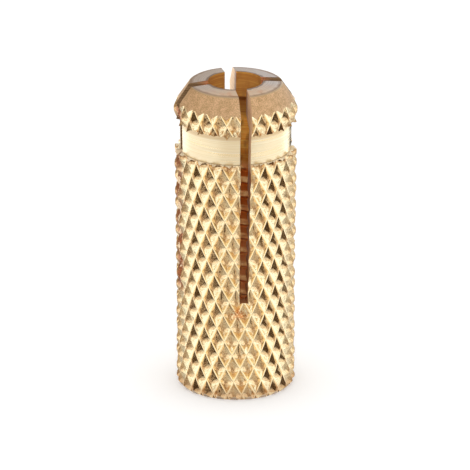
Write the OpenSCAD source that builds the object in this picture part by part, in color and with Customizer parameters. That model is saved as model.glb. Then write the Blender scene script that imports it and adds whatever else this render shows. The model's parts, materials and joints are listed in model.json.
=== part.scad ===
/*
  Drop-in anchor, M10, for a 12 mm hole.
  A brass sleeve that is turned, knurled and slotted in one piece. It stands on its threaded mouth,
  with the slotted cone on top. Z is the axis and runs up from the mouth. One slot faces -Y.
*/

/* [Sleeve] */
// Length from the mouth to the tip
body_h = 31.8; // [30:0.1:36]
// Diameter over the knurl's points
body_d = 12; // [11.8:0.1:12.6]
// Width of the chamfer round the mouth, measured inward from the points
foot_chamfer = 0.5; // [0.1:0.05:0.6]

/* [Knurl] */
// Number of grooves in each of the two crossing spirals
knurl_starts = 24; // [16:1:32]
// Depth of the grooves below the points
knurl_depth = 0.4; // [0.2:0.05:0.5]
// Height from one row of points to the next
knurl_row_h = 1.423; // [1.2:0.001:2]
// Turn from one row to the next, as a share of the spacing round the sleeve
knurl_skew = 0.451; // [0.3:0.001:0.7]
// Height of the lowest row
knurl_rise = 0.44; // [0:0.01:1]
// Turn of the lowest row from the -Y slot, in degrees
knurl_turn = -4.9; // [-15:0.1:15]

/* [Neck and tip] */
// Diameter of the plain neck, before the jaws are spread
neck_d = 10.7; // [10.4:0.1:11]
// Length of the neck
neck_h = 3.05; // [1.5:0.05:4]
// Length of the knurled band above the neck
band_h = 1.4; // [1:0.05:2]
// Length of the cone above the band
cone_h = 2.32; // [1.8:0.02:3]
// Diameter of the end face, before the jaws are spread
tip_d = 8.8; // [7:0.1:9.6]
// Fall of the end face from its hole to its edge
tip_fall = 0.18; // [0.04:0.01:0.4]

/* [Bore] */
// Diameter inside the thread's crests, M10 x 1.5
thread_minor_d = 8.376; // [8.3:0.001:8.7]
// Depth of the thread from the mouth
thread_h = 22; // [12:0.5:23]
// Width of the chamfer at the mouth of the bore
mouth_chamfer = 0.75; // [0.3:0.05:0.9]
// Diameter of the hole in the end face, before the jaws are spread
tip_hole_d = 5; // [3:0.1:6]
// Length of that hole
tip_hole_h = 2.6; // [1:0.1:4]

/* [Slots] */
// Depth of the slots from the tip
slot_h = 21.5; // [10:0.5:26]
// Width of the slots at their lower ends
slot_w = 0.84; // [0.6:0.02:1.2]
// Spread of the jaws at the tip, outward from the axis
jaw_spread = 0.22; // [0.04:0.01:0.4]
// Lean of the saw cuts from the axis, in degrees
slot_lean = 0.75; // [0:0.05:1]

/* [Hidden] */

$fn = 128;
past = 1;                                // how far a cutter runs past what it cuts
drill_angle = 118;

slot_z = body_h - slot_h;
face_edge_z = body_h - tip_fall;
cone_z = face_edge_z - cone_h;
band_z = cone_z - band_h;
neck_z = band_z - neck_h;

point_r = body_d / 2;
groove_r = point_r - knurl_depth;
clear_r = point_r + jaw_spread + 0.2;    // outside every point of the knurl
minor_r = thread_minor_d / 2;
hole_r = tip_hole_d / 2;

// Rows start one below the mouth and end above the tip, each with a point between every two grooves
row_count = ceil((body_h - knurl_rise) / knurl_row_h) + 2;
row_points = 2 * knurl_starts;
point_step = 360 / row_points;

// Outward shift of the jaws at height z: none below the slots' ends, and all of it at the tip
function spread(z) = jaw_spread * max(0, z - slot_z) / slot_h;

// A profile point at radius r and height z, moved out with the jaws
function jaw_point(r, z) = [r + spread(z), z];

function row_z(i) = knurl_rise + (i - 1) * knurl_row_h;
function row_turn(i) = knurl_turn - 90 + (i - 1) * knurl_skew * 2 * point_step;

// Place j of knurl row i: groove crossings are even and points are odd
function knurl_point(i, j) =
    let (
        r = (j % 2 == 0 ? groove_r : point_r) + spread(row_z(i)),
        a = row_turn(i) + j * point_step
    )
    [r * cos(a), r * sin(a), row_z(i)];

function index(i, j) = i * row_points + (j + row_points) % row_points;

// The two faces above point j of row i, which meet at a crossing in the next row
function upper_faces(i, j) = [
    [index(i, j - 1), index(i + 1, j - 1), index(i, j)],
    [index(i, j), index(i + 1, j - 1), index(i, j + 1)]
];

// The two faces below point j of row i, which meet at a crossing in the row before
function lower_faces(i, j) = [
    [index(i, j - 1), index(i, j), index(i - 1, j + 1)],
    [index(i, j), index(i, j + 1), index(i - 1, j + 1)]
];

// Bar with both spirals of grooves, which leave four-sided points between them
module knurled_bar() {
    vertices = [for (i = [0:row_count - 1], j = [0:row_points - 1]) knurl_point(i, j)];
    sides = [
        for (i = [1:row_count - 1], j = [1:2:row_points - 1])
            each concat(upper_faces(i - 1, j), lower_faces(i, j))
    ];
    bottom = [for (j = [0:row_points - 1]) index(0, j)];
    top = [for (j = [row_points - 1:-1:0]) index(row_count - 1, j)];
    polyhedron(vertices, concat(sides, [bottom, top]));
}

// Everything the lathe leaves outside: mouth chamfer, neck, cone and end face
module turned_outline() {
    cone_foot = jaw_point(point_r, cone_z);
    cone_top = jaw_point(tip_d / 2, face_edge_z);
    cone_rise = (cone_top.y - cone_foot.y) / (cone_foot.x - cone_top.x);
    rotate_extrude()
        polygon([
            [0, 0],
            [point_r - foot_chamfer, 0],
            [clear_r, clear_r - point_r + foot_chamfer],
            [clear_r, neck_z],
            jaw_point(neck_d / 2, neck_z),
            jaw_point(neck_d / 2, band_z),
            [clear_r, band_z],
            [clear_r, cone_z - (clear_r - cone_foot.x) * cone_rise],
            cone_top,
            jaw_point(hole_r, body_h),
            [0, body_h]
        ]);
}

// Thread bore from the mouth, its drilled end, and the small hole through the end face
module bore() {
    hole_z = body_h - tip_hole_h;
    drilled_z = hole_z - (minor_r - hole_r) / tan(drill_angle / 2);
    rotate_extrude()
        polygon([
            [0, -past],
            [minor_r + mouth_chamfer + past, -past],
            [minor_r, mouth_chamfer],
            [minor_r, thread_h],
            jaw_point(minor_r, drilled_z),
            jaw_point(hole_r, hole_z),
            jaw_point(hole_r, body_h + past),
            [0, body_h + past]
        ]);
}

// One saw cut right through both sides, opened towards the tip as the jaws are spread
module slot(turn) {
    half_w = slot_w / 2;
    opening = jaw_spread / sqrt(2);      // one wall's share, as each jaw moves out at 45 degrees to it
    top_half_w = half_w + opening * (slot_h + past) / slot_h;
    rotate([0, 0, turn])
        translate([0, 0, body_h])
            rotate([0, slot_lean, 0])
                translate([0, 0, -slot_h])
                    rotate([90, 0, 0])
                        linear_extrude(height = 2 * (clear_r + past), center = true)
                            polygon([
                                [-half_w, 0],
                                [half_w, 0],
                                [top_half_w, slot_h + past],
                                [-top_half_w, slot_h + past]
                            ]);
}

module sleeve() {
    color("goldenrod")
        difference() {
            intersection() {
                knurled_bar();
                turned_outline();
            }
            bore();
            slot(0);
            slot(90);
        }
}

sleeve();
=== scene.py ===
import json
import math

import bmesh
import bpy
import numpy as np
from mathutils import Matrix, Vector


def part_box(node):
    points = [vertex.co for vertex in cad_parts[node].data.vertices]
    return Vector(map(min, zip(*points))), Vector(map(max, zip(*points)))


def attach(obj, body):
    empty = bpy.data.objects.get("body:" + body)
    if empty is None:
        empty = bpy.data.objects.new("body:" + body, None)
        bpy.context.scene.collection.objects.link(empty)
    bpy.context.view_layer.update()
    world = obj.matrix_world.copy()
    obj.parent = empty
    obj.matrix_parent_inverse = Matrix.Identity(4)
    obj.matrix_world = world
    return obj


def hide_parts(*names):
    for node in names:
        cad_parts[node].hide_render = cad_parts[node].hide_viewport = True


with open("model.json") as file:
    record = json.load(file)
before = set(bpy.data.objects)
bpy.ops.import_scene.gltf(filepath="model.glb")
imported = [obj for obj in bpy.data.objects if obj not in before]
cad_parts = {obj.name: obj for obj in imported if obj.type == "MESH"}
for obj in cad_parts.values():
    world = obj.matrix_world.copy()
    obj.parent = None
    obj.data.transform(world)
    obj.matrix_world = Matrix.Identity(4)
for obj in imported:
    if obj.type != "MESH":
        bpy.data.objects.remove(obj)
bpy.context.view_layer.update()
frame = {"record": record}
node_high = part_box("sleeve")[1]
thread_mount = next(m for m in frame["record"]["mounts"] if m["name"] == "thread")

# The piece is made in millimetres, in the CAD's own frame, and turned into metres at the end.
MM = 0.001

# ---------------------------------------------------------------- sizes

LENGTH = node_high.z / MM
POINT_R = 6.0
FOOT_CHAMFER = 0.5

# Knurl: two crossing spirals of flat-floored grooves, with a blunt crown between them
STARTS = 24
ROW_H = 1.423
SKEW = 0.451
RISE = 0.44
TURN = math.radians(-4.9 - 90)
DEPTH = 0.45         # of the grooves, below the crowns
BLUNT = 0.05         # how far the crowns lie below the CAD's points
# Half of a groove and crown: share of the spacing from the groove's middle, and share of the depth
SECTION = ((0, 0), (0.035, 0), (0.075, 0.05), (0.39, 0.94), (0.43, 0.985), (0.5, 1))
UNEVEN = 0.008       # how far single vertices lie too low
NICK = 0.02          # how far whole crowns lie too low

# Neck and tip, before the jaws are spread
NECK_R = 5.35
NECK_H = 3.05
BAND_H = 1.4
CONE_H = 2.32
TIP_R = 4.4
TIP_FALL = 0.18
EDGE = 0.07          # chamfer between cone and end face
RAGGED = 0.3         # how far burrs move the ledges' rims up or down

# Bore and thread, M10 x 1.5
MOUTH_CHAMFER = 0.75
MINOR_R = thread_mount["dims"]["r_mm"]
THREAD_H = MOUTH_CHAMFER + thread_mount["dims"]["length_mm"]
MAJOR_R = 5.0
PITCH = 1.5
RUNOUT = 0.7         # height over which the thread fades out at its end
FLANK_ANGLE = math.radians(30)
CORE_GAP = 0.15      # between the thread cutter's core and the bore's wall
HOLE_R = 2.5
HOLE_H = 2.6
DRILL_ANGLE = math.radians(118)

# Slots
SLOT_H = 21.5
SLOT_W = 0.84
JAW_SPREAD = 0.22
SLOT_LEAN = math.radians(0.75)

PAST = 1.0           # how far a cutter runs past what it cuts
CLEAR_R = POINT_R + JAW_SPREAD + 0.2     # outside every crown of the knurl
SLOT_Z = LENGTH - SLOT_H
FACE_EDGE_Z = LENGTH - TIP_FALL
CONE_Z = FACE_EDGE_Z - CONE_H
BAND_Z = CONE_Z - BAND_H
NECK_Z = BAND_Z - NECK_H
HOLE_Z = LENGTH - HOLE_H
DRILLED_Z = HOLE_Z - (MINOR_R - HOLE_R) / math.tan(DRILL_ANGLE / 2)

# Where the saw left a smear of stain, under the end of the front slot
SMEAR = (-0.8, -5.75, SLOT_Z - 1.2)

# Sides of the round surfaces, and the bend from which an edge is shaded as sharp
OUTSIDE_SIDES = 192
BORE_SIDES = 128
THREAD_SIDES = 96
SHARP_ANGLE = math.radians(32)

rng = np.random.default_rng(12)

# ---------------------------------------------------------------- mesh


def new_object(name, vertices, faces, materials=(), material_index=None):
    """Mesh object in the scene. material_index says which of the materials each face has."""
    mesh = bpy.data.meshes.new(name)
    mesh.from_pydata([tuple(v) for v in vertices], [], [tuple(f) for f in faces])
    for material in materials:
        mesh.materials.append(material)
    if material_index is not None:
        mesh.polygons.foreach_set("material_index", np.asarray(material_index, dtype=np.int32))
    mesh.update()
    made = bpy.data.objects.new(name, mesh)
    bpy.context.scene.collection.objects.link(made)
    return made


def close_ends(vertices, faces):
    """Close a tube's two open ends, each with a fan of triangles from a new point on the axis."""
    sides = {(a, b) for face in faces for a, b in zip(face, face[1:] + face[:1])}
    heights = [v[2] for v in vertices]
    low, high = min(heights), max(heights)
    low_centre, high_centre = len(vertices), len(vertices) + 1
    vertices += [(0, 0, low), (0, 0, high)]
    for a, b in sorted(sides):
        if (b, a) not in sides:
            centre = low_centre if heights[a] < (low + high) / 2 else high_centre
            faces.append((b, a, centre))


def spread(z):
    """Outward shift of the jaws at height z."""
    return JAW_SPREAD * max(0, z - SLOT_Z) / SLOT_H


def jaw_point(r, z):
    """Profile point at radius r and height z, moved out with the jaws."""
    return (r + spread(z), z)


def knurled_bar(material):
    """Bar with both spirals of grooves. Lines a and a + row of the two spirals cross at each vertex."""
    shares = [share for share, rise in SECTION]
    rises = [rise for share, rise in SECTION]
    shares += [1 - share for share in reversed(shares[:-1])]
    rises += list(reversed(rises[:-1]))
    steps = len(shares) - 1
    columns = STARTS * steps
    rows = range(-steps, (math.ceil((LENGTH - RISE) / ROW_H) + 1) * steps)

    nicks = NICK * rng.random((STARTS, len(rows) // steps + 2))
    vertices = []
    for row in rows:
        for a in range(columns):
            groove_a, step_a = divmod(a, steps)
            groove_b, step_b = divmod(a + row, steps)
            turn_a = groove_a + shares[step_a]
            turn_b = groove_b + shares[step_b]
            rise = min(rises[step_a], rises[step_b])
            z = RISE + ROW_H * (turn_b - turn_a)
            angle = TURN + 2 * math.pi / STARTS * ((1 - SKEW) * turn_a + SKEW * turn_b)
            worn = nicks[groove_a, groove_b - groove_a + 1] * rise + UNEVEN * rng.random()
            r = POINT_R - BLUNT - DEPTH * (1 - rise) - worn + spread(z)
            vertices.append((r * math.cos(angle), r * math.sin(angle), z))

    def vertex(a, row):
        return (row - rows[0]) * columns + a % columns

    faces = []
    for row in rows[1:-1]:
        for a in range(columns):
            low = vertex(a + 1, row - 1)
            high = vertex(a, row + 1)
            left = vertex(a, row)
            right = vertex(a + 1, row)
            first_half_a = a % steps < steps / 2
            first_half_b = (a + row) % steps < steps / 2
            if first_half_a == first_half_b:
                faces += [(left, low, right), (left, right, high)]
            else:
                faces += [(left, low, high), (low, right, high)]
    close_ends(vertices, faces)
    return new_object("knurled_bar", vertices, faces, [material])


def revolve(name, profile, sides, materials, material_index):
    """Closed solid of revolution. The profile runs from the axis up the outside and back to the axis."""
    ring = [2 * math.pi * s / sides for s in range(sides)]
    vertices = [(r * math.cos(a), r * math.sin(a), z) for r, z in profile[1:-1] for a in ring]
    bottom, top = len(vertices), len(vertices) + 1
    vertices += [(0, 0, profile[0][1]), (0, 0, profile[-1][1])]
    last = len(vertices) - 2 - sides
    faces = []
    index = []
    for s in range(sides):
        n = (s + 1) % sides
        faces.append((bottom, n, s))
        index.append(material_index[0])
        for level in range(len(profile) - 3):
            low, high = level * sides, (level + 1) * sides
            faces.append((low + s, low + n, high + n, high + s))
            index.append(material_index[level + 1])
        faces.append((last + s, last + n, top))
        index.append(material_index[-1])
    return new_object(name, vertices, faces, materials, index)


def turned_outline(turned, ledge, cone, face):
    """Everything the lathe leaves outside, with the sharp edge of the tip just broken."""
    cone_foot = jaw_point(POINT_R, CONE_Z)
    cone_top = jaw_point(TIP_R, FACE_EDGE_Z)
    cone_rise = (cone_top[1] - cone_foot[1]) / (cone_foot[0] - cone_top[0])
    face_rise = TIP_FALL / (cone_top[0] - HOLE_R - JAW_SPREAD)
    profile = [
        (0, 0),
        (POINT_R - FOOT_CHAMFER, 0),
        (CLEAR_R, CLEAR_R - POINT_R + FOOT_CHAMFER),
        (CLEAR_R, NECK_Z),
        jaw_point(NECK_R, NECK_Z),
        jaw_point(NECK_R, BAND_Z),
        (CLEAR_R, BAND_Z),
        (CLEAR_R, CONE_Z - (CLEAR_R - cone_foot[0]) * cone_rise),
        (cone_top[0] + EDGE / cone_rise, cone_top[1] - EDGE),
        (cone_top[0] - EDGE, cone_top[1] + EDGE * face_rise),
        jaw_point(HOLE_R, LENGTH),
        (0, LENGTH),
    ]
    # Material of the surface from each profile point to the next: lathe work, ledge, cone or end face
    index = [0, 0, 0, 1, 0, 0, 0, 2, 0, 3, 3]
    outline = revolve("outline", profile, OUTSIDE_SIDES, [turned, ledge, cone, face], index)
    for vertex in outline.data.vertices:
        on_rim = math.hypot(vertex.co.x, vertex.co.y) > POINT_R + JAW_SPREAD
        if on_rim and NECK_Z <= vertex.co.z <= BAND_Z:
            vertex.co.z += RAGGED * rng.uniform(-1, 1)
    return outline


def bore(material):
    """Thread bore from the mouth, its drilled end, and the small hole through the end face."""
    profile = [
        (0, -PAST),
        (MINOR_R + MOUTH_CHAMFER + PAST, -PAST),
        (MINOR_R, MOUTH_CHAMFER),
        (MINOR_R, THREAD_H),
        jaw_point(MINOR_R, DRILLED_Z),
        jaw_point(HOLE_R, HOLE_Z),
        jaw_point(HOLE_R, LENGTH + PAST),
        (0, LENGTH + PAST),
    ]
    return revolve("bore", profile, BORE_SIDES, [material], [0] * (len(profile) - 1))


def thread(material):
    """Cutter for a right-hand 60 degree thread, wound round a core that is thinner than the bore."""
    core_r = MINOR_R - CORE_GAP
    root_half_w = PITCH / 16             # a thread's root is an eighth of its pitch wide
    foot_half_w = root_half_w + (MAJOR_R - core_r) * math.tan(FLANK_ANGLE)
    ridge = [
        (-root_half_w, MAJOR_R),
        (root_half_w, MAJOR_R),
        (foot_half_w, core_r),
        (PITCH - foot_half_w, core_r),
    ]
    width = len(ridge)
    start_turn = -1.5                    # below the mouth, as the last turn ends above the thread
    total = math.ceil(THREAD_H / PITCH + 2) * THREAD_SIDES
    vertices = []
    for s in range(total + 1):
        angle = 2 * math.pi * s / THREAD_SIDES
        for offset, r in ridge:
            z = PITCH * (s / THREAD_SIDES + start_turn) + offset
            depth_left = min(1, max(0, (THREAD_H - z) / RUNOUT))
            cut_r = core_r + (r - core_r) * depth_left
            vertices.append((cut_r * math.cos(angle), cut_r * math.sin(angle), z))
    faces = []
    for s in range(total):
        near, far = s * width, (s + 1) * width
        for i in range(width - 1):
            faces.append((near + i, far + i, far + i + 1, near + i + 1))
        if s + THREAD_SIDES < total:
            turn = THREAD_SIDES * width
            faces.append((near + width - 1, far + width - 1, far + turn, near + turn))
    close_ends(vertices, faces)
    return new_object("thread", vertices, faces, [material])


def slot(material, turn):
    """One saw cut right through both sides, opened towards the tip as the jaws are spread."""
    half_w = SLOT_W / 2
    top_half_w = half_w + JAW_SPREAD / math.sqrt(2) * (SLOT_H + PAST) / SLOT_H
    reach = CLEAR_R + PAST
    opening = [(-half_w, 0), (half_w, 0), (top_half_w, SLOT_H + PAST), (-top_half_w, SLOT_H + PAST)]
    vertices = [(x, y, z) for y in (-reach, reach) for x, z in opening]
    faces = [(0, 1, 2, 3), (7, 6, 5, 4), (0, 4, 5, 1), (1, 5, 6, 2), (2, 6, 7, 3), (3, 7, 4, 0)]
    place = (
        Matrix.Rotation(turn, 4, "Z")
        @ Matrix.Translation((0, 0, LENGTH))
        @ Matrix.Rotation(SLOT_LEAN, 4, "Y")
        @ Matrix.Translation((0, 0, -SLOT_H))
    )
    return new_object("slot", [place @ Vector(v) for v in vertices], faces, [material])


def apply_modifiers(target):
    depsgraph = bpy.context.evaluated_depsgraph_get()
    mesh = bpy.data.meshes.new_from_object(target.evaluated_get(depsgraph))
    target.modifiers.clear()
    target.data = mesh


def combine(target, tool, operation):
    """Apply a Boolean with the tool, which is then gone. Cut faces keep the tool's material."""
    modifier = target.modifiers.new("combine", "BOOLEAN")
    modifier.operation = operation
    modifier.object = tool
    modifier.solver = "MANIFOLD"
    modifier.material_mode = "TRANSFER"
    apply_modifiers(target)
    bpy.data.objects.remove(tool)


def drop_slivers(target):
    """Delete what the Booleans leave of no thickness: faces that share all their corners with another."""
    work = bmesh.new()
    work.from_mesh(target.data)
    alike = {}
    for face in work.faces:
        alike.setdefault(frozenset(face.verts), []).append(face)
    slivers = [face for faces in alike.values() if len(faces) > 1 for face in faces]
    bmesh.ops.delete(work, geom=slivers, context="FACES")
    work.to_mesh(target.data)
    work.free()


def settle_normals(target):
    """Bend the shading normals at the small faces between big ones, so that the big ones stay flat."""
    modifier = target.modifiers.new("normals", "WEIGHTED_NORMAL")
    modifier.keep_sharp = True
    modifier.thresh = 0
    apply_modifiers(target)


# ---------------------------------------------------------------- materials


class Brass:
    """One brass finish: a metal shader, and patterns worked out from the place on the object in mm."""

    def __init__(self, name, rough, metallic=1.0, specular=0.5):
        self.material = bpy.data.materials.new(name)
        self.material.use_nodes = True
        self.tree = self.material.node_tree
        self.shader = self.tree.nodes["Principled BSDF"]
        self.shader.inputs["Roughness"].default_value = rough
        self.shader.inputs["Metallic"].default_value = metallic
        self.shader.inputs["Specular IOR Level"].default_value = specular
        place = self.add("ShaderNodeTexCoord").outputs["Object"]
        self.place = self.vector_math("SCALE", {0: place, "Scale": 1 / MM}).outputs[0]
        self.x, self.y, self.z = self.add("ShaderNodeSeparateXYZ", {0: self.place}).outputs

    def add(self, kind, inputs=(), **settings):
        """Node of this kind. An input that is another node's output is linked, and any other is set."""
        node = self.tree.nodes.new(kind)
        for key, value in settings.items():
            setattr(node, key, value)
        for key, value in dict(inputs).items():
            if isinstance(value, bpy.types.NodeSocket):
                self.tree.links.new(value, node.inputs[key])
            else:
                node.inputs[key].default_value = value
        return node

    def math(self, operation, a, b=0.0):
        return self.add("ShaderNodeMath", {0: a, 1: b}, operation=operation).outputs[0]

    def product(self, result, *others):
        for other in others:
            result = self.math("MULTIPLY", result, other)
        return result

    def vector_math(self, operation, inputs):
        return self.add("ShaderNodeVectorMath", inputs, operation=operation)

    def ramp(self, value, start, end, low=0.0, high=1.0):
        """low where value is at start or before it, high at end or past it, and even in between."""
        return self.add("ShaderNodeMapRange", {0: value, 1: start, 2: end, 3: low, 4: high}).outputs[0]

    def noise(self, size, detail=2.0, place=None):
        """Random pattern round 0.5. size is how far it runs along x, y and z before it changes."""
        scaled = self.vector_math("MULTIPLY", {0: place or self.place, 1: [1 / s for s in size]})
        inputs = {"Vector": scaled.outputs[0], "Scale": 1.0, "Detail": detail}
        return self.add("ShaderNodeTexNoise", inputs).outputs[0]

    def blend(self, share, first, second):
        """Colour that goes from the first to the second as share goes from 0 to 1."""
        inputs = {0: share}
        for key, color in ((6, first), (7, second)):
            inputs[key] = color if isinstance(color, bpy.types.NodeSocket) else (*color, 1)
        return self.add("ShaderNodeMix", inputs, data_type="RGBA").outputs[2]

    def radius(self):
        """Distance from the axis, less the spread of the jaws."""
        squares = self.math("ADD", self.product(self.x, self.x), self.product(self.y, self.y))
        moved = self.ramp(self.z, SLOT_Z, LENGTH, 0.0, JAW_SPREAD)
        return self.math("SUBTRACT", self.math("SQRT", squares), moved)

    def distance(self, point):
        return self.vector_math("DISTANCE", {0: self.place, 1: point}).outputs["Value"]

    def beside_slot(self):
        """1 along both edges of the -X slot, and 0 away from it."""
        near_edges = self.ramp(self.math("ABSOLUTE", self.y), 0.7, 1.2, 1.0, 0.0)
        on_side = self.ramp(self.x, -5.0, -4.0, 1.0, 0.0)
        above_end = self.ramp(self.z, SLOT_Z - 0.5, SLOT_Z + 0.5)
        return self.product(near_edges, on_side, above_end)

    def unrolled(self, lean):
        """Place on the sleeve's unrolled surface, turned by an angle: along, across and nothing."""
        along = self.product(self.math("ARCTAN2", self.y, self.x), POINT_R)
        flat = self.add("ShaderNodeCombineXYZ", {0: along, 1: self.z}).outputs[0]
        turn = {"Vector": flat, "Angle": lean}
        return self.add("ShaderNodeVectorRotate", turn, rotation_type="Z_AXIS").outputs[0]

    def finish(self, color, rough=None, relief=None, depth=0.0):
        """Link what varies over the surface. depth is the relief's height in millimetres."""
        self.tree.links.new(color, self.shader.inputs["Base Color"])
        if rough:
            self.tree.links.new(rough, self.shader.inputs["Roughness"])
        if relief:
            bump = self.add("ShaderNodeBump", {"Distance": depth * MM, "Height": relief})
            self.tree.links.new(bump.outputs[0], self.shader.inputs["Normal"])
        return self.material


def knurl_finish():
    """
    Grooves burnished by the rollers, mottled flanks, and dull crowns that the rollers didn't reach,
    with rust beside the -X slot, a smear under the front slot, darker towards the foot, and burrs at the
    neck.
    """
    brass = Brass("brass_knurl", 0.2)
    grain = brass.noise((0.16, 0.16, 0.16), 3.0)
    patches = brass.noise((0.9, 0.9, 0.9))
    streaks = brass.noise((0.5, 0.12, 1.0), 1.0, brass.unrolled(math.radians(62)))

    # 0 in the grooves and 1 on the crowns
    height = brass.math("DIVIDE", brass.math("SUBTRACT", brass.radius(), POINT_R - BLUNT - DEPTH), DEPTH)
    ragged = brass.math("ADD", height, brass.ramp(grain, 0.3, 0.7, -0.06, 0.06))
    flank = brass.ramp(ragged, 0.06, 0.16)
    crown = brass.ramp(ragged, 0.84, 0.98)

    bright = brass.blend(brass.ramp(patches, 0.35, 0.65), (0.93, 0.68, 0.38), (0.97, 0.74, 0.43))
    bright = brass.blend(brass.ramp(ragged, 0.2, 0.7), (0.97, 0.80, 0.51), bright)
    spots = brass.product(flank, brass.ramp(grain, 0.40, 0.54, 0.52, 0.0))
    bright = brass.blend(spots, bright, (0.56, 0.31, 0.15))
    dull = brass.blend(brass.ramp(grain, 0.32, 0.68), (0.40, 0.20, 0.07), (0.79, 0.46, 0.21))
    dull = brass.blend(brass.ramp(streaks, 0.56, 0.66, 0.0, 0.6), dull, (1.0, 0.71, 0.40))
    color = brass.blend(crown, bright, dull)

    rust = brass.product(brass.beside_slot(), brass.ramp(ragged, 0.5, 0.9, 0.85, 0.1))
    color = brass.blend(rust, color, (0.40, 0.13, 0.07))
    from_smear = brass.math("ADD", brass.distance(SMEAR), brass.ramp(grain, 0.3, 0.7, -0.35, 0.35))
    smear = brass.ramp(from_smear, 0.4, 0.7, 0.8, 0.0)
    color = brass.blend(smear, color, (0.60, 0.22, 0.05))
    # Darker towards the foot
    foot_darkening = brass.ramp(brass.z, 0.4, 1.6, 0.65, 0.0)
    color = brass.blend(foot_darkening, color, (0.46, 0.25, 0.12))
    from_neck = brass.math("ABSOLUTE", brass.math("SUBTRACT", brass.z, NECK_Z + NECK_H / 2))
    at_neck = brass.ramp(from_neck, NECK_H / 2 + 0.1, NECK_H / 2 + 0.8, 1.0, 0.0)
    burrs = brass.ramp(brass.noise((0.3, 0.3, 0.3)), 0.44, 0.54, 0.0, 0.75)
    color = brass.blend(brass.product(burrs, at_neck), color, (0.50, 0.25, 0.10))

    rough = brass.ramp(flank, 0.0, 1.0, 0.14, 0.2)
    rough = brass.math("ADD", rough, brass.ramp(crown, 0.0, 1.0, 0.0, 0.22))
    relief = brass.product(grain, brass.ramp(crown, 0.0, 1.0, 0.2, 1.0))
    return brass.finish(color, rough, relief, 0.04)


def turned_finish():
    """Fine lines round the axis, with painted shade at the neck's foot, under the band and on the chamfer
    at the mouth.
    """
    brass = Brass("brass_turned", 0.3)
    fine = brass.noise((9.0, 9.0, 0.05), 2.0)
    wide = brass.noise((12.0, 12.0, 0.35), 2.0)
    lines = brass.math("ADD", brass.product(fine, 0.6), brass.product(wide, 0.4))
    color = brass.blend(brass.ramp(lines, 0.4, 0.6), (0.86, 0.71, 0.46), (0.96, 0.84, 0.62))
    # Painted shade: a dark line in the corner at the neck's foot
    low = brass.ramp(brass.z, NECK_Z + 0.03, NECK_Z + 0.09, 0.6, 0.0)
    inner = brass.ramp(brass.radius(), NECK_R + 0.02, NECK_R + 0.08, 1.0, 0.0)
    color = brass.blend(brass.product(low, inner), color, (0.24, 0.14, 0.06))
    # Painted shadow of the band and its burrs on the neck, just under the band
    shadow_under_band = brass.ramp(brass.z, BAND_Z - 0.6, BAND_Z - 0.3, 0.0, 0.5)
    color = brass.blend(shadow_under_band, color, (0.50, 0.30, 0.13))
    # Painted shade on the chamfer at the mouth, for the shadowed table that it mirrors
    mouth_shade = brass.ramp(brass.z, 0.2, 0.6, 0.9, 0.0)
    color = brass.blend(mouth_shade, color, (0.42, 0.23, 0.11))
    rough = brass.ramp(wide, 0.35, 0.65, 0.24, 0.38)
    return brass.finish(color, rough, fine, 0.008)


def ledge_finish():
    """Ledge at the neck's foot, rough from the knurl's burrs."""
    brass = Brass("brass_ledge", 0.5, 0.4)
    burrs = brass.noise((0.25, 0.25, 0.25), 3.0)
    color = brass.blend(brass.ramp(burrs, 0.35, 0.65), (0.92, 0.74, 0.48), (1.0, 0.92, 0.72))
    return brass.finish(color, relief=burrs, depth=0.05)


def cone_finish():
    """Satin cone, finely mottled."""
    brass = Brass("brass_cone", 0.42, 0.75)
    grain = brass.noise((0.11, 0.11, 0.11), 4.0)
    patches = brass.noise((0.6, 0.6, 0.6), 2.0)
    pattern = brass.math("ADD", brass.product(grain, 0.7), brass.product(patches, 0.3))
    color = brass.blend(brass.ramp(pattern, 0.40, 0.60), (0.54, 0.34, 0.17), (0.84, 0.57, 0.34))
    rough = brass.ramp(grain, 0.3, 0.7, 0.36, 0.5)
    return brass.finish(color, rough, pattern, 0.025)


def face_finish():
    """End face, warm in front and grey behind, where the grey is a painted reflection of the grey room
    behind, with rings from the facing tool, darker towards the hole and the outer rim, and a painted
    highlight along the broken outer edge.
    """
    brass = Brass("brass_face", 0.38, 0.85)
    radius = brass.radius()
    across = brass.add("ShaderNodeCombineXYZ", {0: radius}).outputs[0]
    rings = brass.noise((0.09, 1.0, 1.0), 2.0, across)
    patches = brass.noise((0.7, 0.7, 0.7), 3.0)
    ring = brass.ramp(rings, 0.35, 0.65)
    warm = brass.blend(ring, (0.62, 0.47, 0.36), (1.0, 0.81, 0.62))
    warm = brass.blend(brass.ramp(patches, 0.48, 0.64, 0.0, 0.6), warm, (0.78, 0.48, 0.31))
    # Painted reflection: the back half greyer, as if it mirrored the grey room behind
    reflected_grey = brass.blend(ring, (0.50, 0.44, 0.42), (0.86, 0.77, 0.74))
    color = brass.blend(brass.ramp(brass.y, -3.6, -1.2), warm, reflected_grey)
    ragged = brass.math("ADD", radius, brass.ramp(patches, 0.3, 0.7, -0.12, 0.12))
    # Darker towards the hole and towards the outer rim
    at_hole = brass.ramp(ragged, HOLE_R + 0.15, HOLE_R + 0.35, 0.8, 0.0)
    color = brass.blend(at_hole, color, (0.24, 0.15, 0.10))
    at_edge = brass.ramp(ragged, TIP_R - 0.55, TIP_R - 0.2, 0.0, 0.7)
    color = brass.blend(at_edge, color, (0.34, 0.20, 0.12))
    # Painted highlight: a bright line along the broken outer edge of the face
    edge_highlight = brass.ramp(radius, TIP_R - 0.1, TIP_R - 0.06)
    color = brass.blend(edge_highlight, color, (1.0, 0.82, 0.66))
    return brass.finish(color, brass.ramp(patches, 0.3, 0.7, 0.3, 0.45), rings, 0.02)


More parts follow.
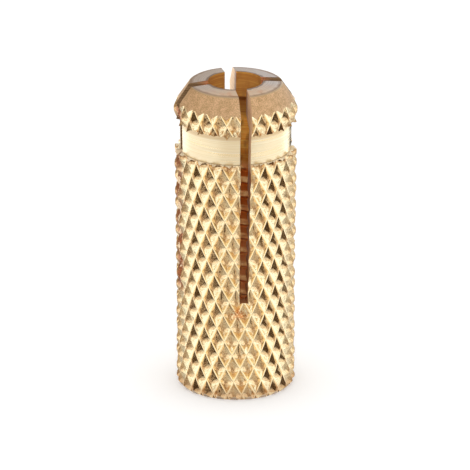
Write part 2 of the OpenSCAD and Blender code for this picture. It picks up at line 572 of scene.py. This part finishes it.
def bore_finish():
    """Bore, stained orange with painted shade at its drilled end, and a dark thread with bright crests,
    lightened with painted light near the end of the slots.
    """
    brass = Brass("brass_bore", 0.45, 0.25, 0.2)
    lines = brass.noise((6.0, 6.0, 0.09), 2.0)
    stains = brass.noise((0.8, 0.8, 1.1), 2.0)
    color = brass.blend(brass.ramp(lines, 0.38, 0.62), (0.86, 0.34, 0.05), (1.0, 0.58, 0.12))
    color = brass.blend(brass.ramp(stains, 0.5, 0.66, 0.0, 0.6), color, (0.34, 0.14, 0.04))
    # Painted shade at the drilled end of the bore
    drilled_end = brass.ramp(brass.z, DRILLED_Z - 1.9, DRILLED_Z - 1.1)
    drilled_end_shade = brass.product(drilled_end, brass.ramp(lines, 0.3, 0.7, 0.95, 0.7))
    color = brass.blend(drilled_end_shade, color, (0.37, 0.15, 0.035))
    above_thread = brass.ramp(brass.z, THREAD_H, THREAD_H + 2.5, 0.75, 0.0)
    color = brass.blend(above_thread, color, (0.34, 0.10, 0.01))

    crest = brass.ramp(brass.radius(), MINOR_R + 0.05, MINOR_R + 0.2, 1.0, 0.0)
    shine = brass.product(crest, brass.ramp(stains, 0.42, 0.58, 0.3, 1.0))
    turns = brass.blend(shine, (0.56, 0.14, 0.02), (1.0, 0.62, 0.26))
    # Painted light: the thread made lighter near the end of the slots, where little light reaches it
    slot_end_light = brass.ramp(brass.z, SLOT_Z, SLOT_Z + 6, 0.4, 0.0)
    turns = brass.blend(slot_end_light, turns, (1.0, 0.50, 0.20))
    threaded = brass.ramp(brass.z, THREAD_H - RUNOUT, THREAD_H, 1.0, 0.0)
    color = brass.blend(threaded, color, turns)
    return brass.finish(color, brass.ramp(stains, 0.3, 0.7, 0.38, 0.55), lines, 0.02)


def sawn_finish(name, stained, bare, worn):
    """
    Walls of a slot: bare metal on the neck and tip, and a stain that hides it below them.
    Each colour is given at its darkest and its lightest. worn is how far the outer edges are rubbed
    bright, in patches, below the neck.
    """
    brass = Brass(name, 0.4, specular=0.2)
    marks = brass.noise((5.0, 5.0, 0.11), 2.0)
    mark = brass.ramp(marks, 0.38, 0.62)
    radius = brass.radius()
    clean = brass.product(brass.ramp(radius, 2.6, 3.6), brass.ramp(brass.z, NECK_Z - 1, NECK_Z))
    color = brass.blend(clean, brass.blend(mark, *stained), brass.blend(mark, *bare))
    brass.tree.links.new(brass.ramp(clean, 0.0, 1.0, 0.0, 0.4), brass.shader.inputs["Metallic"])
    rubbed = brass.product(
        brass.ramp(brass.noise((0.8, 0.8, 1.2)), 0.46, 0.52, 0.0, worn),
        brass.ramp(radius, 4.9, 5.3),
        brass.ramp(brass.z, NECK_Z - 0.1, NECK_Z, 1.0, 0.0),
    )
    color = brass.blend(rubbed, color, (0.98, 0.80, 0.54))
    at_end = brass.ramp(brass.z, SLOT_Z + 0.1, SLOT_Z + 0.4, 0.8, 0.0)
    color = brass.blend(at_end, color, (0.36, 0.14, 0.05))
    return brass.finish(color, brass.ramp(marks, 0.3, 0.7, 0.34, 0.48), marks, 0.025)


# ---------------------------------------------------------------- sleeve

bore_brass = bore_finish()
front_sawn = sawn_finish(
    "brass_sawn",
    stained=((0.22, 0.07, 0.02), (0.42, 0.16, 0.05)),
    bare=((0.80, 0.53, 0.28), (0.97, 0.72, 0.44)),
    worn=0.0,
)
# Painted shade: the side slot's bare metal is a darker copy of the front slot's
shaded_side_sawn = sawn_finish(
    "brass_sawn_dark",
    stained=((0.24, 0.08, 0.03), (0.46, 0.18, 0.08)),
    bare=((0.16, 0.09, 0.04), (0.34, 0.21, 0.11)),
    worn=0.8,
)
sleeve = knurled_bar(knurl_finish())
outline = turned_outline(turned_finish(), ledge_finish(), cone_finish(), face_finish())
combine(sleeve, outline, "INTERSECT")
combine(sleeve, bore(bore_brass), "DIFFERENCE")
combine(sleeve, thread(bore_brass), "DIFFERENCE")
combine(sleeve, slot(front_sawn, 0), "DIFFERENCE")
combine(sleeve, slot(shaded_side_sawn, math.pi / 2), "DIFFERENCE")
drop_slivers(sleeve)
sleeve.name = "anchor_sleeve"
sleeve.data.polygons.foreach_set("use_smooth", [True] * len(sleeve.data.polygons))
sleeve.data.set_sharp_from_angle(angle=SHARP_ANGLE)
settle_normals(sleeve)
sleeve.data.transform(Matrix.Scale(MM, 4))
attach(sleeve, "root")
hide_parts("sleeve")

# ---------------------------------------------------------------- studio

scene = bpy.context.scene

# Azimuths are in degrees from the axis: 0 is towards the camera, and they grow to its right.
CAMERA_TURN = math.radians(11)
CAMERA_RISE = math.radians(20.8)
CAMERA_DISTANCE = 0.598
FRAME_W = 0.04686
AIM_Z = 0.01548
AIM_SIDE = -0.000065

FLOOR_HALF_W = 3
ROOM_R = 1.5
CARD_STEPS = 24
LAMP_DISTANCE = 1.0
LAMP_Z = 0.392

# Elevations, in degrees, at which one row of cards ends and the next begins
NADIR = -88
NEAR = -34
FAR = -11
HORIZON = -1
LEFT_TOP = 17
RIGHT_TOP = 19
WALL_TOP = 31
ABOVE_TOP = 50
ZENITH = 88

# Light of the cards that come more than once
DARK = (0.07, 0.04, 0.015)
LEFT = (0.62, 0.54, 0.44)
TABLE_SIDE = (1.26, 1.24, 1.18)
TABLE_REAR_SIDE = (1.65, 1.7, 1.7)


def around(azimuth, r, z):
    angle = math.radians(azimuth) - CAMERA_TURN
    return Vector((r * math.sin(angle), -r * math.cos(angle), z))


def floor():
    half_w = FLOOR_HALF_W
    corners = [(-half_w, -half_w, 0), (half_w, -half_w, 0), (half_w, half_w, 0), (-half_w, half_w, 0)]
    plane = new_object("floor", corners, [(0, 1, 2, 3)])
    material = bpy.data.materials.new("floor")
    material.use_nodes = True
    shader = material.node_tree.nodes["Principled BSDF"]
    shader.inputs["Base Color"].default_value = (0.99, 0.99, 0.99, 1)
    shader.inputs["Roughness"].default_value = 1.0
    shader.inputs["Specular IOR Level"].default_value = 0.0
    plane.data.materials.append(material)
    plane.visible_glossy = False


def card(name, light, azimuths, low, high):
    """Card on the room's round wall, between two azimuths and two elevations. Only gloss shows it."""
    start, end = azimuths
    turns = [start + (end - start) * i / CARD_STEPS for i in range(CARD_STEPS + 1)]
    heights = [ROOM_R * math.tan(math.radians(rise)) for rise in (low, high)]
    vertices = [around(turn, ROOM_R, z) for z in heights for turn in turns]
    upper = len(turns)
    faces = [(i, i + 1, upper + i + 1, upper + i) for i in range(CARD_STEPS)]
    made = new_object("studio_" + name, vertices, faces)
    material = bpy.data.materials.new("studio_" + name)
    material.use_nodes = True
    tree = material.node_tree
    tree.nodes.clear()
    emission = tree.nodes.new("ShaderNodeEmission")
    emission.inputs["Color"].default_value = (*light, 1)
    output = tree.nodes.new("ShaderNodeOutputMaterial")
    tree.links.new(emission.outputs[0], output.inputs[0])
    made.data.materials.append(material)
    made.visible_camera = False
    made.visible_diffuse = False
    made.visible_transmission = False
    made.visible_shadow = False


camera_data = bpy.data.cameras.new("camera")
camera_data.sensor_width = 36
camera_data.lens = camera_data.sensor_width * CAMERA_DISTANCE / FRAME_W
camera_data.clip_start = 0.01
camera = bpy.data.objects.new("camera", camera_data)
aim = around(90, AIM_SIDE, AIM_Z)
offset = around(0, CAMERA_DISTANCE * math.cos(CAMERA_RISE), CAMERA_DISTANCE * math.sin(CAMERA_RISE))
camera.location = aim + offset
camera.rotation_euler = offset.to_track_quat("Z", "Y").to_euler()
scene.collection.objects.link(camera)
scene.camera = camera

floor()
card("ceiling", (0.68, 0.62, 0.54), (-180, 180), ABOVE_TOP, ZENITH)
card("above", (0.68, 0.61, 0.52), (-180, 180), WALL_TOP, ABOVE_TOP)
card("rear_left", (0.42, 0.34, 0.24), (-180, -90), HORIZON, WALL_TOP)
card("left_low", LEFT, (-90, -22), HORIZON, LEFT_TOP)
card("left_high", LEFT, (-90, -64), LEFT_TOP, WALL_TOP)
card("front_low", DARK, (-22, 44), HORIZON, RIGHT_TOP)
card("front_high", DARK, (-64, 0), LEFT_TOP, WALL_TOP)
card("right_low", (0.60, 0.56, 0.49), (44, 75), HORIZON, RIGHT_TOP)
card("right_high", (0.84, 0.72, 0.58), (0, 55), RIGHT_TOP, WALL_TOP)
card("key", (0.98, 0.88, 0.74), (55, 88), RIGHT_TOP, WALL_TOP)
card("right_side", (0.72, 0.70, 0.66), (75, 88), HORIZON, RIGHT_TOP)
card("right", (0.72, 0.73, 0.73), (88, 180), HORIZON, WALL_TOP)
card("table_far", (0.52, 0.48, 0.43), (-60, 60), FAR, HORIZON)
card("table_rear", (1.0, 0.95, 0.88), (60, 300), FAR, HORIZON)
card("table_front", (1.03, 0.95, 0.84), (-35, 35), NEAR, FAR)
card("table_right", TABLE_SIDE, (35, 120), NEAR, FAR)
card("table_rear_right", TABLE_REAR_SIDE, (120, 146), NEAR, FAR)
card("table_behind", (0.06, 0.05, 0.04), (146, 190), NEAR, FAR)
card("table_rear_left", TABLE_REAR_SIDE, (190, 240), NEAR, FAR)
card("table_left", TABLE_SIDE, (240, 325), NEAR, FAR)
card("table_near", (1.30, 1.48, 1.55), (-64, 62), NADIR, NEAR)
card("shade_right", (0.84, 0.84, 0.82), (62, 180), NADIR, NEAR)
card("shade_left", (0.61, 0.61, 0.60), (-180, -64), NADIR, NEAR)

world = bpy.data.worlds.new("world")
world.use_nodes = True
world.node_tree.nodes["Background"].inputs["Color"].default_value = (1, 1, 1, 1)
scene.world = world

lamp_data = bpy.data.lights.new("key", "AREA")
lamp_data.energy = 5.0
lamp_data.size = 0.1
lamp = bpy.data.objects.new("key", lamp_data)
lamp.location = around(0, LAMP_DISTANCE, LAMP_Z)
lamp.rotation_euler = lamp.location.to_track_quat("Z", "Y").to_euler()
lamp.visible_glossy = False
scene.collection.objects.link(lamp)

scene.view_settings.view_transform = "Standard"
